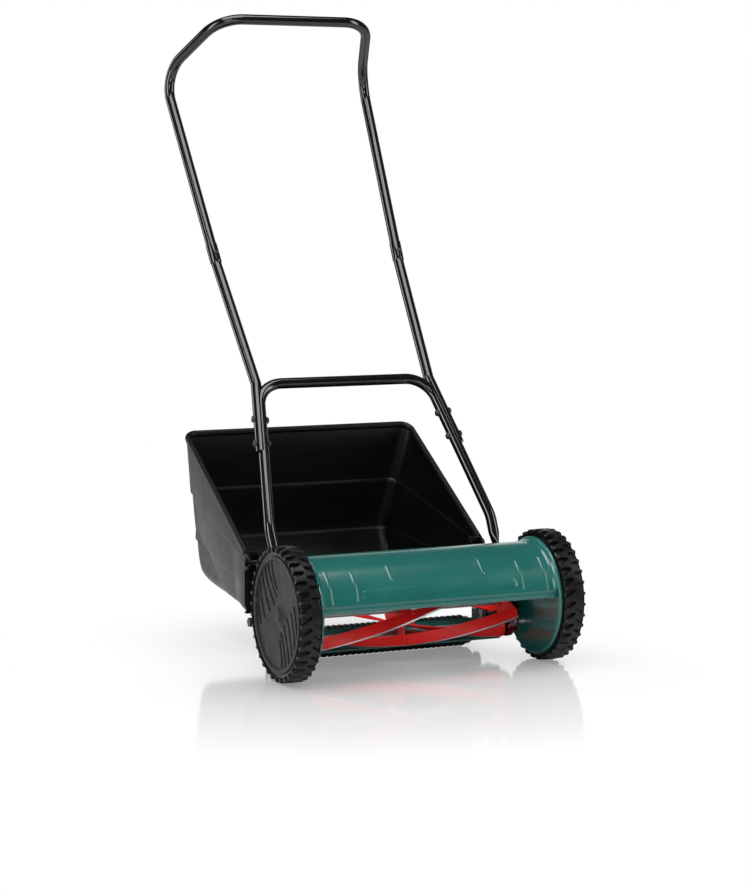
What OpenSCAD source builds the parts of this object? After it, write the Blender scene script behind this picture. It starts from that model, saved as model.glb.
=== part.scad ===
// Push reel mower: two geared drive wheels, a five-blade cutting reel, bed knife, rear roller,
// tubular folding handle and a lift-off grass box. Right-hand pieces are drawn at +X and the
// left-hand ones mirrored. The mower travels towards -Y and stands on Z = 0.

/* [Wheels] */
// Radius of the drive wheels over the tread lugs
wheel_r = 107; // [107:1:116]
// Distance between the middles of the two tyres
track = 457; // [450:1:560]
// Width of a tyre
tyre_w = 36; // [34:1:40]
// Height of the tread lugs
lug_h = 4.5; // [3:0.5:5]
// Number of lugs in each of a tyre's two rows
lug_count = 36; // [24:1:40]
// Radius of the tyre's seat on the wheel rim
rim_r = 98; // [97:0.5:98]
// Radius of the wheel axle stubs
axle_r = 6; // [5:0.5:6.5]
// Wall of the plain wheel bushes
bush_t = 2; // [1.5:0.5:3]

/* [Drive gears] */
// Gear module
gear_module = 2; // [2:0.1:2.1]
// Teeth of the internal ring inside each wheel
ring_teeth = 87; // [83:2:87]
// Teeth of the pinions on the reel shaft
pinion_teeth = 13; // [13:1:15]
// Face width of ring and pinion teeth
gear_w = 10; // [8:1:11]
// Angle of the reel axis below the level through the wheel axle, seen from the axle
reel_drop = 14.9; // [12:0.1:18]

/* [Reel] */
// Radius of the blade edges
reel_r = 60; // [56:0.5:62]
// Radius of the blades' inner edges
blade_inner_r = 43; // [40:1:46]
// Lean of a blade from its outer to its inner edge, in degrees about the reel axis
blade_lean = 10; // [0:1:14]
// Thickness of a blade
blade_t = 3; // [2:0.5:4]
// Angle that each blade winds through along the reel
blade_wind = 126; // [80:1:140]
// Angle of blade 1 at mid width, from straight down towards the front
blade_phase = 80; // [0:1:120]
// Radius of the reel shaft
shaft_r = 6; // [5:0.5:6.5]
// Thickness of the reel's spider plates
spider_t = 3; // [2:0.5:4]

/* [Chassis] */
// Distance between the outer faces of the two rear brackets
bracket_span = 388; // [370:1:392]
// Gap between a rear bracket and the side plate outside it
plate_gap = 11; // [8:0.5:11]
// Thickness of the side plates
plate_t = 3; // [2:0.5:4]
// Radius of the side plates
plate_r = 95.6; // [94:0.1:97]
// Depth of a side plate's rim, over both its faces
collar_w = 4.5; // [3:0.5:4.5]
// Thickness of the black rear brackets
bracket_t = 3; // [2:0.5:4]
// Outer radius of the top cover
cover_r = 88.5; // [86:0.5:89]
// Wall of the top cover
cover_t = 2; // [1.5:0.5:3]
// Angle from the top of the cover forward to its front crease
cover_front = 76; // [60:1:80]
// Angle from the top of the cover back to its rear edge
cover_back = 32; // [10:1:40]
// Height of the cover's lip below the front crease
lip_h = 13; // [8:0.5:16]

/* [Rear roller] */
// Radius of the rear roller
roller_r = 26; // [22:0.5:27]
// Half length of the rear roller
roller_half = 175; // [150:1:178]
// Distance from the wheel axle back to the roller axis
roller_y = 165; // [160:1:175]
// Travel of the roller each way for the height of cut
height_travel = 14; // [8:1:14]
// Height of the clamp studs above the roller axis
stud_rise = 42; // [40:1:46]
// Radius of the clamp studs
stud_r = 4; // [3:0.5:4.5]
// Grip radius of the clamp knobs
knob_r = 7.5; // [7:0.5:10]

/* [Handle] */
// Radius of the handle tubes
tube_r = 9; // [8:0.5:10]
// Wall of the handle tubes
tube_wall = 1.2; // [1:0.1:2]
// Height of the handle's pivots
pivot_z = 160; // [155:1:166]
// Half width of the lower handle at its leg bends
leg_half_w = 199.5; // [196:0.5:200]
// Half width of the lower handle at its cross bar
cross_half_w = 154.8; // [130:0.1:165]
// Height of the lower handle's cross bar
cross_z = 443.5; // [400:0.5:520]
// Half width of the upper handle where its tubes join
joint_half_w = 171.4; // [160:0.1:185]
// Height of the tube joints
joint_z = 637.3; // [600:0.1:720]
// Half width of the upper handle at its shoulders
shoulder_half_w = 191; // [175:1:210]
// Height of the shoulders
shoulder_z = 967; // [900:1:1040]
// Half width of the upper handle's grip bar
grip_half_w = 138.7; // [110:0.1:160]
// Height of the grip bar
grip_z = 1056.7; // [990:0.1:1140]
// Length of the sockets that join the tubes
socket_len = 40; // [30:1:60]
// Length of the side tubes' saddles on the lower handle
saddle_len = 131; // [120:1:150]

/* [Grass box] */
// Half width over the box's side walls
box_half_w = 214; // [205:1:225]
// Wall of the grass box
box_wall = 2.5; // [2:0.5:4]
// Radius of the rolled rim
rim_bead = 5.5; // [4:0.5:6.5]
// Width of the flanges down the box's front edges
box_flange_w = 20; // [15:1:24]
// Radius of the pins that carry the grass box
box_pin_r = 4; // [3:0.5:5]
// Angle of the box's lift-off direction above the level
lift_angle = 30; // [20:1:45]

/* [Hidden] */

cover_green = [0.02, 0.30, 0.26];
reel_red = [0.78, 0.09, 0.07];
black = [0.08, 0.08, 0.09];
bright_steel = [0.70, 0.71, 0.73];
bronze = [0.55, 0.42, 0.25];

run_gap = 0.1; // radial clearance of everything that turns on a shaft or pin
loose_gap = 0.3; // clearance between moving bodies that don't guide each other
fit_gap = 0.1; // radial clearance of fixed bolts and nested tubes
cut = 1; // overshoot of cutting tools past the faces they cut
lap = 0.4; // a tube's straight stretches run this far into its bends
lap_step = 0.02; // and its bends are this much thinner, so that each seam is one clean step

// Wheel and chassis places, measured from the wheel axle line
axle_z = wheel_r;
tyre_in = track / 2 - tyre_w / 2;
tyre_out = track / 2 + tyre_w / 2;
bracket_out = bracket_span / 2;
bracket_in = bracket_out - bracket_t;
plate_in = bracket_out + plate_gap;
plate_out = plate_in + plate_t;
rim_t = 5;
gear_x = tyre_in + 1.5;
web_x = gear_x + gear_w + 4;
web_t = 4;
hub_r = axle_r + bush_t + 7;
hub_x = plate_out + 5;
hub_len = tyre_out - 14 - hub_x;
face_x = tyre_out - 0.1;
cover_disc_r = rim_r - rim_t - loose_gap;
hub_cap_r = 12;
dish = 6;

// Gear sizes: the reel axis hangs one centre distance from the axle
ring_pitch_r = gear_module * ring_teeth / 2;
pinion_pitch_r = gear_module * pinion_teeth / 2;
centre_distance = ring_pitch_r - pinion_pitch_r;
reel_y = centre_distance * cos(reel_drop);
reel_z = axle_z - centre_distance * sin(reel_drop);
pressure_angle = 25;
tooth_top = 0.8 * gear_module;
tooth_root = 1.05 * gear_module;
backlash = 0.15 * gear_module;

// Reel: blades end short of the brackets
reel_half = bracket_in - 2.5;
blade_len = 2 * reel_half;
spider_places = [-reel_half, -spider_t / 2, reel_half - spider_t];
bearing_r = 14;
shaft_half = gear_x + gear_w + 3;
key_w = 5;
key_t = 3;

// Knife: its edge touches the blade circle this far behind straight down
knife_angle = 25;
knife_lean = 4;
knife_nose = 0.8;
knife_gap = 0.3;
knife_t = 2.5;
knife_w = 25;
knife_edge = [reel_y + (reel_r + knife_gap) * sin(knife_angle), reel_z - (reel_r + knife_gap) * cos(knife_angle)];
knife_dir = [cos(knife_angle + knife_lean), sin(knife_angle + knife_lean)];
knife_down = [knife_dir.y, -knife_dir.x];
carrier_bolt = knife_edge + 29 * knife_dir + 9 * knife_down;
carrier_bolt_r = 4;
adjuster_y = knife_edge.x + 43;
adjuster_x = bracket_in - 6;
adjuster_r = 3;

// Rear fittings
roller_z = roller_r;
stud_z = roller_z + stud_rise;
pin_y = roller_y + 32;
pin_z = pivot_z;
pivot_y = 104;
pivot_r = 5;
tongue_t = 6;
tongue_r = 10.5;
knob_neck = 13;
knob_len = 19;

// Handle centre lines for the right side, from the pivots up
leg_foot = [bracket_out + loose_gap + tongue_t / 2, pivot_y + 6.5, pivot_z + 13];
leg_bend = [leg_half_w, 135.5, 222];
cross_corner = [cross_half_w, 289.1, cross_z];
joint_point = [joint_half_w, 433, joint_z];
shoulder = [shoulder_half_w, 633.9, shoulder_z];
grip_corner = [grip_half_w, 493.6, grip_z];
cross_bend_r = 48;
shoulder_bend_r = 55;
grip_bend_r = 60;
leg_bend_r = 90;
socket_r = tube_r + 1;
bolt_r = 3;
bolt_places = [69, 115];

// Grass box: side profile from the front edge along the floor and up the back, then the rim
box_front_y = roller_y + 39;
box_floor = [
    [box_front_y, 75], [252, 79], [310, 82.5], [367, 85], [410, 86.5], [455, 89.5], [485, 95], [500, 103],
    [514, 121], [522, 145], [525, 166], [505, 254], [485, 323], [482, 346],
];
box_hook = [box_front_y, 175];
box_rear = box_floor[len(box_floor) - 1];
box_taper = 0.155; // how far the side walls lean in for each mm below the rim, at the back
box_taper_depth = 172; // the lean ends this far below the rim
box_lip_z = 81;
hook_t = 3;

function unit(v) = v / norm(v);
function polar(r, a) = [r * cos(a), r * sin(a)];
function flipped(p) = [-p.x, p.y, p.z];
function reversed(list) = [for (i = [len(list) - 1 : -1 : 0]) list[i]];
function axes(o, x, y, z) = [
    [x.x, y.x, z.x, o.x],
    [x.y, y.y, z.y, o.y],
    [x.z, y.z, z.z, o.z],
    [0, 0, 0, 1],
];
function across(v) = unit(cross(v, abs(v.z) < 0.9 * norm(v) ? [0, 0, 1] : [1, 0, 0]));
// Corner maths for a bend of radius r where the line a-p turns to p-b
function bend_turn(a, p, b) = acos(unit(p - a) * unit(b - p));
function bend_setback(a, p, b, r) = r * tan(bend_turn(a, p, b) / 2);
function bend_normal(a, p, b) = unit(cross(p - a, b - p));
function bend_centre(a, p, b, r) = p + unit(unit(b - p) - unit(p - a)) * r / cos(bend_turn(a, p, b) / 2);

// The part's origin lies on the ground, midway between the front of the wheels and the handle's back
shoulder_centre = bend_centre(joint_point, shoulder, grip_corner, shoulder_bend_r);
shoulder_normal = bend_normal(joint_point, shoulder, grip_corner);
handle_back = shoulder_centre.y + shoulder_bend_r * sqrt(1 - pow(shoulder_normal.y, 2)) + tube_r;
middle_y = (handle_back - wheel_r) / 2;

module in_place() {
    translate([0, -middle_y, 0]) children();
}

module on_side(side) {
    mirror([side < 0 ? 1 : 0, 0, 0]) children();
}

// An outline in (Y, Z), extruded along X from x
module plate_x(x, thickness, outline) {
    translate([x, 0, 0]) rotate([90, 0, 90]) linear_extrude(thickness) polygon(outline);
}

module rod_x(x, y, z, length, r) {
    translate([x, y, z]) rotate([0, 90, 0]) cylinder(h = length, r = r, $fn = 64);
}

module ring_x(x, y, z, length, r, bore) {
    difference() {
        rod_x(x, y, z, length, r);
        rod_x(x - cut, y, z, length + 2 * cut, bore);
    }
}

// A profile in (radius, X) turned about an axis along X
module turned_x(x, y, z, start = 0, span = 360) {
    translate([x, y, z]) rotate([0, 90, 0]) rotate([0, 0, start])
        rotate_extrude(angle = span, $fn = 128) children();
}

// A rod between two points
module bar(a, b, r) {
    z = unit(b - a);
    x = across(z);
    multmatrix(axes(a, x, cross(z, x), z)) cylinder(h = norm(b - a), r = r, $fn = 64);
}

// The round corner of a rod at p, on the way from a to b
module bend(a, p, b, bend_r, r) {
    centre = bend_centre(a, p, b, bend_r);
    start = p - unit(p - a) * bend_setback(a, p, b, bend_r);
    x = unit(start - centre);
    n = bend_normal(a, p, b);
    multmatrix(axes(centre, x, cross(n, x), n)) rotate_extrude(angle = bend_turn(a, p, b), $fn = 96)
        translate([bend_r, 0]) circle(r = r - lap_step, $fn = 64);
}

// A rod along points, with one bend radius for each inner point
module rod_run(points, bends, r) {
    last = len(points) - 1;
    setbacks = [for (i = [0 : last]) i == 0 || i == last ? 0
        : bend_setback(points[i - 1], points[i], points[i + 1], bends[i - 1])];
    for (i = [0 : last - 1]) {
        step = unit(points[i + 1] - points[i]);
        bar(points[i] + step * max(0, setbacks[i] - lap),
            points[i + 1] - step * max(0, setbacks[i + 1] - lap), r);
    }
    for (i = [1 : last - 1]) bend(points[i - 1], points[i], points[i + 1], bends[i - 1], r);
}

// The same with a bore, open at both ends
module tube_run(points, bends, r, wall) {
    last = len(points) - 1;
    before = points[0] + unit(points[0] - points[1]) * cut;
    after = points[last] + unit(points[last] - points[last - 1]) * cut;
    inner = [for (i = [0 : last]) i == 0 ? before : i == last ? after : points[i]];
    difference() {
        rod_run(points, bends, r);
        rod_run(inner, bends, r - wall);
    }
}

// Gear outline. half_extra widens each tooth, so the same shape cuts the spaces of an inner ring.
function involute_angle(r, base_r) =
    sqrt(max(0, pow(r / base_r, 2) - 1)) * 180 / PI - acos(min(1, base_r / r));
function tooth_half(r, pitch_r, base_r, teeth, thick) =
    90 / teeth + thick / pitch_r * 90 / PI - involute_angle(max(r, base_r), base_r)
    + involute_angle(pitch_r, base_r);
function gear_outline(teeth, low_r, high_r, thick, steps, turn) =
    let (pitch_r = gear_module * teeth / 2, base_r = pitch_r * cos(pressure_angle))
    let (radii = [for (i = [0 : steps]) low_r + (high_r - low_r) * i / steps])
    [
        for (tooth = [0 : teeth - 1])
            let (middle = turn + tooth * 360 / teeth)
            for (p = concat(
                [for (r = radii) polar(r, middle - tooth_half(r, pitch_r, base_r, teeth, thick))],
                [for (r = reversed(radii)) polar(r, middle + tooth_half(r, pitch_r, base_r, teeth, thick))]
            )) p
    ];

// --- Chassis -------------------------------------------------------------------------------

module side_plate(side) {
    fillet_gap = 0.1;
    fillet = plate_r - cover_r - 6 * fillet_gap;
    fillet_start = 180 - cover_back;
    color(cover_green) in_place() on_side(side) difference() {
        union() {
            rod_x(plate_in, 0, axle_z, plate_t, plate_r);
            ring_x(plate_in, 0, axle_z, collar_w, plate_r, plate_r - plate_t);
            turned_x(plate_in - fillet, 0, axle_z, fillet_start, cover_back + cover_front)
                polygon(concat(
                    [for (a = [0 : 15 : 90]) [cover_r + fillet_gap + fillet * (1 - cos(a)), fillet * sin(a)]],
                    [[cover_r + fillet_gap + fillet, fillet + 1], [cover_r + fillet_gap, fillet + 1]]
                ));
        }
        rod_x(plate_in - cut, 0, axle_z, plate_t + 2 * cut, axle_r + 2);
        rod_x(plate_in - cut, reel_y, reel_z, plate_t + 2 * cut, bearing_r);
        rod_x(plate_in - cut, tie_y, tie_z, plate_t + 2 * cut, tie_end_r + fit_gap);
        for (a = cover_screw_angles) rod_x(plate_in - cut, cover_screw(a).x, cover_screw(a).y,
            plate_t + 2 * cut, screw_r + fit_gap);
        for (p = rivet_places) rod_x(plate_in - cut, p.x, p.y, plate_t + 2 * cut, rivet_r);
    }
}

tie_y = 30;
tie_z = axle_z + 58;
tie_r = 7;
tie_end_r = 4;
screw_r = 2.5;
rivet_r = 3;
flange_in_r = 78;
cover_screw_angles = [20, 60];
// Middle of a cover screw, a degrees forward of the top
function cover_screw(a) = [-(flange_in_r + 4) * sin(a), axle_z + (flange_in_r + 4) * cos(a)];
rivet_places = [[52, 48], [58, 122], [30, 60]];

module top_cover() {
    crease = [-cover_r * sin(cover_front), axle_z + cover_r * cos(cover_front)];
    lip_back = crease.x + cover_t;
    flange_x = plate_in - 2.3;
    color(cover_green) in_place() difference() {
        union() {
            turned_x(-plate_in, 0, axle_z, 180 - cover_back, cover_back + cover_front)
                translate([cover_r - cover_t, 0]) square([cover_t, 2 * plate_in]);
            plate_x(-plate_in, 2 * plate_in, [
                [crease.x, crease.y - lip_h], [lip_back, crease.y - lip_h],
                [lip_back, crease.y + 1], [crease.x + 0.3, crease.y + 1],
            ]);
            rod_x(-plate_in, crease.x + 0.6, crease.y - lip_h / 2, 2 * plate_in, 1.6);
            for (side = [-1, 1]) on_side(side)
                turned_x(flange_x, 0, axle_z, 180, cover_front)
                    translate([flange_in_r, 0]) square([cover_r - cover_t / 2 - flange_in_r, 2.2]);
        }
        for (side = [-1, 1], a = cover_screw_angles) on_side(side)
            rod_x(flange_x - cut, cover_screw(a).x, cover_screw(a).y, 5, screw_r);
    }
}

module cover_screws() {
    color(bright_steel) in_place() for (side = [-1, 1], a = cover_screw_angles) on_side(side) {
        rod_x(plate_in - 5, cover_screw(a).x, cover_screw(a).y, 5 + plate_t + 0.5, screw_r);
        rod_x(plate_out, cover_screw(a).x, cover_screw(a).y, 2.4, screw_r * 2);
    }
}

module tie_rod() {
    color(black) in_place() {
        rod_x(-plate_in, tie_y, tie_z, 2 * plate_in, tie_r);
        rod_x(-plate_out - 8, tie_y, tie_z, 2 * (plate_out + 8), tie_end_r);
    }
}

module tie_rod_nuts() {
    color(bright_steel) in_place() for (side = [-1, 1]) on_side(side)
        translate([plate_out, tie_y, tie_z]) rotate([0, 90, 0]) difference() {
            cylinder(h = 6.5, r = 7.5, $fn = 6);
            translate([0, 0, -cut]) cylinder(h = 6.5 + 2 * cut, r = tie_end_r, $fn = 64);
        }
}

function from_edge(ahead, below) = knife_edge + ahead * knife_dir + below * knife_down;

module knife_carrier() {
    top = from_edge(knife_nose, knife_t);
    back = from_edge(knife_w, knife_t);
    color(cover_green) in_place() difference() {
        union() {
            plate_x(-bracket_in, 2 * bracket_in, [
                [knife_edge.x - 13, roller_z - 3], [knife_edge.x + 1, roller_z - 3],
                from_edge(38, 10), from_edge(43, 6), from_edge(41, 1), from_edge(38, 0), back, top,
                [knife_edge.x - 13, roller_z - 0.5],
            ]);
            for (side = [-1, 1]) on_side(side) {
                translate([adjuster_x - 6, adjuster_y - 12, from_edge(40, 5).y - 3]) cube([12, 19, 6]);
                rod_x(bracket_in - 6, carrier_bolt.x, carrier_bolt.y, 6, carrier_bolt_r + 3);
            }
        }
        for (side = [-1, 1]) on_side(side)
            rod_x(bracket_in - 26, carrier_bolt.x, carrier_bolt.y, 27, carrier_bolt_r);
        for (x = knife_screw_places) knife_screw(x, screw_r, 12);
    }
}

knife_screw_places = [for (i = [-2 : 2]) i * 80];

module knife_screw(x, r, length) {
    p = from_edge(15, 0);
    bar([x, p.x, p.y] + [0, knife_down.x, knife_down.y] * 0.2,
        [x, p.x, p.y] + [0, knife_down.x, knife_down.y] * length, r);
}

module bed_knife() {
    color(bright_steel) in_place() difference() {
        plate_x(-bracket_in + 1, 2 * bracket_in - 2, [
            knife_edge, from_edge(knife_nose, knife_t), from_edge(knife_w, knife_t), from_edge(knife_w, 0),
        ]);
        for (x = knife_screw_places) {
            knife_screw(x, screw_r, 12);
            knife_screw(x, screw_r * 1.8, 1.6);
        }
    }
}

module knife_screws() {
    color(bright_steel) in_place() for (x = knife_screw_places) {
        knife_screw(x, screw_r, 9);
        knife_screw(x, screw_r * 1.8, 1.6);
    }
}

module carrier_bolts() {
    color(bright_steel) in_place() for (side = [-1, 1]) on_side(side) {
        rod_x(bracket_in - 25, carrier_bolt.x, carrier_bolt.y, 25 + bracket_t, carrier_bolt_r);
        rod_x(bracket_out, carrier_bolt.x, carrier_bolt.y, 5, carrier_bolt_r + 3);
    }
}

adjuster_block_z = 64;

module knife_adjusters() {
    bottom = from_edge(40, 5).y + 3;
    color(bright_steel) in_place() for (side = [-1, 1]) on_side(side)
        translate([adjuster_x, adjuster_y, bottom]) {
            cylinder(h = 34, r = adjuster_r, $fn = 48);
            translate([0, 0, 30]) cylinder(h = 5, r = adjuster_r + 2.5, $fn = 6);
        }
}

module rear_bracket(side) {
    slot_half = height_travel;
    color(black) in_place() on_side(side) difference() {
        union() {
            plate_x(bracket_in, bracket_t, [
                [48, 34], [62, 30], [128, 26], [150, 33], [roller_y + 13, 38], [roller_y + 19, 60],
                [roller_y + 19, 110], [roller_y + 25, pin_z - 20], [pin_y + 9, pin_z - 8],
                [pin_y + 10, pin_z + 7], [pin_y, pin_z + 12], [roller_y + 17, pin_z + 6],
                [148, 138], [pivot_y + 14, pivot_z + 5], [pivot_y + 5, pivot_z + 13],
                [pivot_y - 8, pivot_z + 12], [pivot_y - 15, pivot_z], [80, 132], [50, 134], [24, 72],
                [24, 52],
            ]);
            translate([adjuster_x - 5, adjuster_y - 6, adjuster_block_z]) cube([11.5, 12, 9]);
        }
        rod_x(bracket_in - cut, reel_y, reel_z, bracket_t + 2 * cut, bearing_r);
        rod_x(bracket_in - cut, pivot_y, pivot_z, bracket_t + 2 * cut, pivot_r);
        rod_x(bracket_in - cut, pin_y, pin_z, bracket_t + 2 * cut, box_pin_r);
        rod_x(bracket_in - cut, carrier_bolt.x, carrier_bolt.y, bracket_t + 2 * cut, carrier_bolt_r);
        for (p = rivet_places) rod_x(bracket_in - cut, p.x, p.y, bracket_t + 2 * cut, rivet_r);
        translate([adjuster_x, adjuster_y, adjuster_block_z - cut]) cylinder(h = 12, r = adjuster_r, $fn = 48);
        rod_x(bracket_in - cut, roller_y, stud_z - slot_half, bracket_t + 2 * cut, stud_r + loose_gap);
        rod_x(bracket_in - cut, roller_y, stud_z + slot_half, bracket_t + 2 * cut, stud_r + loose_gap);
        translate([bracket_in - cut, roller_y - stud_r - loose_gap, stud_z - slot_half])
            cube([bracket_t + 2 * cut, 2 * (stud_r + loose_gap), 2 * slot_half]);
    }
}

module bracket_rivets() {
    color(bright_steel) in_place() for (side = [-1, 1], p = rivet_places) on_side(side) {
        rod_x(bracket_in, p.x, p.y, plate_out - bracket_in, rivet_r);
        ring_x(bracket_out, p.x, p.y, plate_gap, rivet_r * 2, rivet_r - 0.1);
        rod_x(plate_out, p.x, p.y, 2, rivet_r + 2.5);
    }
}

module wheel_axle(side) {
    color(bright_steel) in_place() on_side(side) difference() {
        union() {
            rod_x(plate_in, 0, axle_z, plate_t + 1, axle_r + 2);
            rod_x(plate_out, 0, axle_z, 4, axle_r + 10);
            rod_x(plate_out, 0, axle_z, hub_x + hub_len + 5 - plate_out, axle_r);
        }
        ring_x(hub_x + hub_len + 1, 0, axle_z, 1.2, axle_r + 2, axle_r - 1);
    }
}

module axle_clips() {
    color(bright_steel) in_place() for (side = [-1, 1]) on_side(side)
        ring_x(hub_x + hub_len + 1, 0, axle_z, 1.2, axle_r + 3.5, axle_r - 1);
}

module reel_bearing(side) {
    color(bronze) in_place() on_side(side) difference() {
        union() {
            rod_x(bracket_in - 1.5, reel_y, reel_z, plate_out - bracket_in + 1.5, bearing_r);
            rod_x(plate_out, reel_y, reel_z, 2.5, bearing_r + 3);
        }
        rod_x(bracket_in - 4, reel_y, reel_z, plate_out - bracket_in + 8, shaft_r + run_gap);
    }
}

module handle_pivots() {
    color(bright_steel) in_place() for (side = [-1, 1]) on_side(side) {
        rod_x(bracket_in, pivot_y, pivot_z, bracket_t + tongue_t + 2 * loose_gap, pivot_r);
        rod_x(bracket_out + tongue_t + 2 * loose_gap, pivot_y, pivot_z, 3, pivot_r + 3);
    }
}

module box_pins() {
    color(bright_steel) in_place() for (side = [-1, 1]) on_side(side) {
        rod_x(bracket_in, pin_y, pin_z, box_half_w + hook_t + 4 - bracket_in, box_pin_r);
        rod_x(box_half_w + hook_t + 2, pin_y, pin_z, 2, box_pin_r + 1.2);
        rod_x(bracket_out, pin_y, pin_z, 2, box_pin_r + 2.5);
    }
}

// --- Wheels --------------------------------------------------------------------------------

module wheel(side) {
    pocket_r = ring_pitch_r - tooth_top;
    color(black) in_place() on_side(side) {
        difference() {
            ring_x(gear_x, 0, axle_z, gear_w, rim_r - rim_t / 2, pocket_r);
            translate([gear_x - cut, 0, axle_z]) rotate([90, 0, 90]) linear_extrude(gear_w + 2 * cut)
                polygon(gear_outline(ring_teeth, pocket_r - 1, ring_pitch_r + tooth_root, backlash / 2,
                    3, -reel_drop));
        }
        ring_x(tyre_in, 0, axle_z, tyre_w - 2.5, rim_r, rim_r - rim_t);
        ring_x(web_x, 0, axle_z, web_t, rim_r - rim_t / 2, hub_r - 1);
        ring_x(hub_x, 0, axle_z, hub_len, hub_r, axle_r + run_gap + bush_t);
    }
}

// The tread's outline: lugs are wider at the root than at the top
function tread(turn) = [
    for (i = [0 : lug_count - 1], p = [[0.06, 0], [0.16, 1], [0.62, 1], [0.72, 0]])
        polar(wheel_r - lug_h * (1 - p.y), turn + (i + p.x) * 360 / lug_count)
];

module tyre(side) {
    color(black) in_place() on_side(side) translate([tyre_in, 0, axle_z]) difference() {
        union() {
            rotate([90, 0, 90]) linear_extrude(tyre_w / 2) polygon(tread(0));
            translate([tyre_w / 2, 0, 0]) rotate([90, 0, 90]) linear_extrude(tyre_w / 2)
                polygon(tread(180 / lug_count));
        }
        translate([-cut, 0, 0]) rotate([0, 90, 0]) cylinder(h = tyre_w + 2 * cut, r = rim_r, $fn = 128);
    }
}

module wheel_cover(side) {
    skirt = 12;
    rim_ring = 7;
    skin = 2.5;
    color(black) in_place() on_side(side) turned_x(face_x, 0, axle_z) polygon([
        [hub_cap_r + loose_gap, -dish], [cover_disc_r - rim_ring - 3, -2.5], [cover_disc_r - rim_ring, 0],
        [cover_disc_r - 1, 0], [cover_disc_r, -1], [cover_disc_r, -skirt], [cover_disc_r - 2, -skirt],
        [cover_disc_r - 2, -skin - 1], [cover_disc_r - rim_ring - 3, -skin - 2.5],
        [hub_cap_r + loose_gap, -skin - dish],
    ]);
}

module hub_cap(side) {
    back = hub_x + hub_len - face_x;
    color(black) in_place() on_side(side) turned_x(face_x, 0, axle_z) polygon([
        [0, -2], [hub_cap_r - 3, -2.5], [hub_cap_r, -4], [hub_cap_r, back], [hub_cap_r - 1.6, back],
        [hub_cap_r - 1.6, -5.5], [0, -5.5],
    ]);
}

module wheel_bush(side) {
    color(bronze) in_place() on_side(side)
        ring_x(hub_x, 0, axle_z, hub_len, axle_r + run_gap + bush_t, axle_r + run_gap);
}

// --- Cutting reel --------------------------------------------------------------------------

function wind_at(x) = blade_wind * x / blade_len;
// A point of the reel at radius r, a degrees forward of straight down, as (Y, Z) from its axis
function reel_point(r, a) = [-r * sin(a), -r * cos(a)];
function blade_angle(i) = blade_phase + (i - 1) * 72;

// A blade's cross-section: a strip from its outer edge, which leads, to its inner edge
function blade_strip(angle, thickness, extra = 0) = [
    reel_point(reel_r + extra, angle), reel_point(blade_inner_r, angle + blade_lean),
    reel_point(blade_inner_r, angle + blade_lean + thickness / blade_inner_r * 180 / PI),
    reel_point(reel_r + extra, angle + thickness / reel_r * 180 / PI),
];

module blade(i) {
    color(reel_red) in_place() translate([-blade_len / 2, reel_y, reel_z]) rotate([90, 0, 90])
        linear_extrude(blade_len, twist = blade_wind, slices = 30, segments = 4)
            polygon(blade_strip(blade_angle(i) - blade_wind / 2, blade_t));
}

module spider(x) {
    middle = x + spider_t / 2;
    notch = blade_t + 1.2;
    color(reel_red) in_place() translate([x, reel_y, reel_z]) rotate([90, 0, 90]) difference() {
        union() {
            cylinder(h = spider_t, r = 17, $fn = 64);
            linear_extrude(spider_t) for (i = [1 : 5]) {
                angle = blade_angle(i) + wind_at(middle);
                polygon([
                    reel_point(15, angle + 60), reel_point(reel_r - 6, angle + 13),
                    reel_point(reel_r - 4, angle - 8), reel_point(15, angle - 50),
                ]);
            }
        }
        for (i = [1 : 5]) {
            angle = blade_angle(i) + wind_at(middle);
            lead = (notch - blade_t) / 2 / reel_r * 180 / PI;
            translate([0, 0, -cut]) linear_extrude(spider_t + 2 * cut)
                polygon(blade_strip(angle - lead, notch, 4));
        }
        translate([0, 0, -cut]) cylinder(h = spider_t + 2 * cut, r = shaft_r, $fn = 64);
    }
}

module reel_shaft() {
    color(bright_steel) in_place() difference() {
        rod_x(-shaft_half, reel_y, reel_z, 2 * shaft_half, shaft_r);
        for (side = [-1, 1]) on_side(side) {
            translate([gear_x + 2, reel_y, reel_z]) rotate([-reel_drop, 0, 0])
                translate([0, -shaft_r - cut, -key_t / 2]) cube([key_w, 2 * (shaft_r + cut), key_t]);
            ring_x(shaft_half - 2.4, reel_y, reel_z, 1.2, shaft_r + 2, shaft_r - 1);
        }
    }
}

module pinion(side) {
    color(bright_steel) in_place() on_side(side) difference() {
        translate([gear_x, reel_y, reel_z]) rotate([90, 0, 90]) linear_extrude(gear_w)
            polygon(gear_outline(pinion_teeth, pinion_pitch_r - tooth_root, pinion_pitch_r + tooth_top,
                -backlash / 2, 5, -reel_drop));
        rod_x(gear_x - cut, reel_y, reel_z, gear_w + 2 * cut, shaft_r);
        translate([gear_x + 2, reel_y, reel_z]) rotate([-reel_drop, 0, 0])
            translate([0, -shaft_r - 2.5, -key_t / 2]) cube([key_w, 2 * shaft_r + 5, key_t]);
    }
}

module ratchet_key(side) {
    color(bright_steel) in_place() on_side(side) translate([gear_x + 2, reel_y, reel_z])
        rotate([-reel_drop, 0, 0]) translate([0, -shaft_r - 2.4, -key_t / 2])
            cube([key_w, 2 * shaft_r + 4.8, key_t]);
}

module pinion_clips() {
    color(bright_steel) in_place() for (side = [-1, 1]) on_side(side)
        ring_x(shaft_half - 2.4, reel_y, reel_z, 1.2, shaft_r + 3, shaft_r - 1);
}

// --- Rear roller and height clamps ---------------------------------------------------------

roller_axle_r = 5;
roller_bracket_t = 4;
roller_bracket_x = bracket_in - loose_gap - roller_bracket_t;

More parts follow.
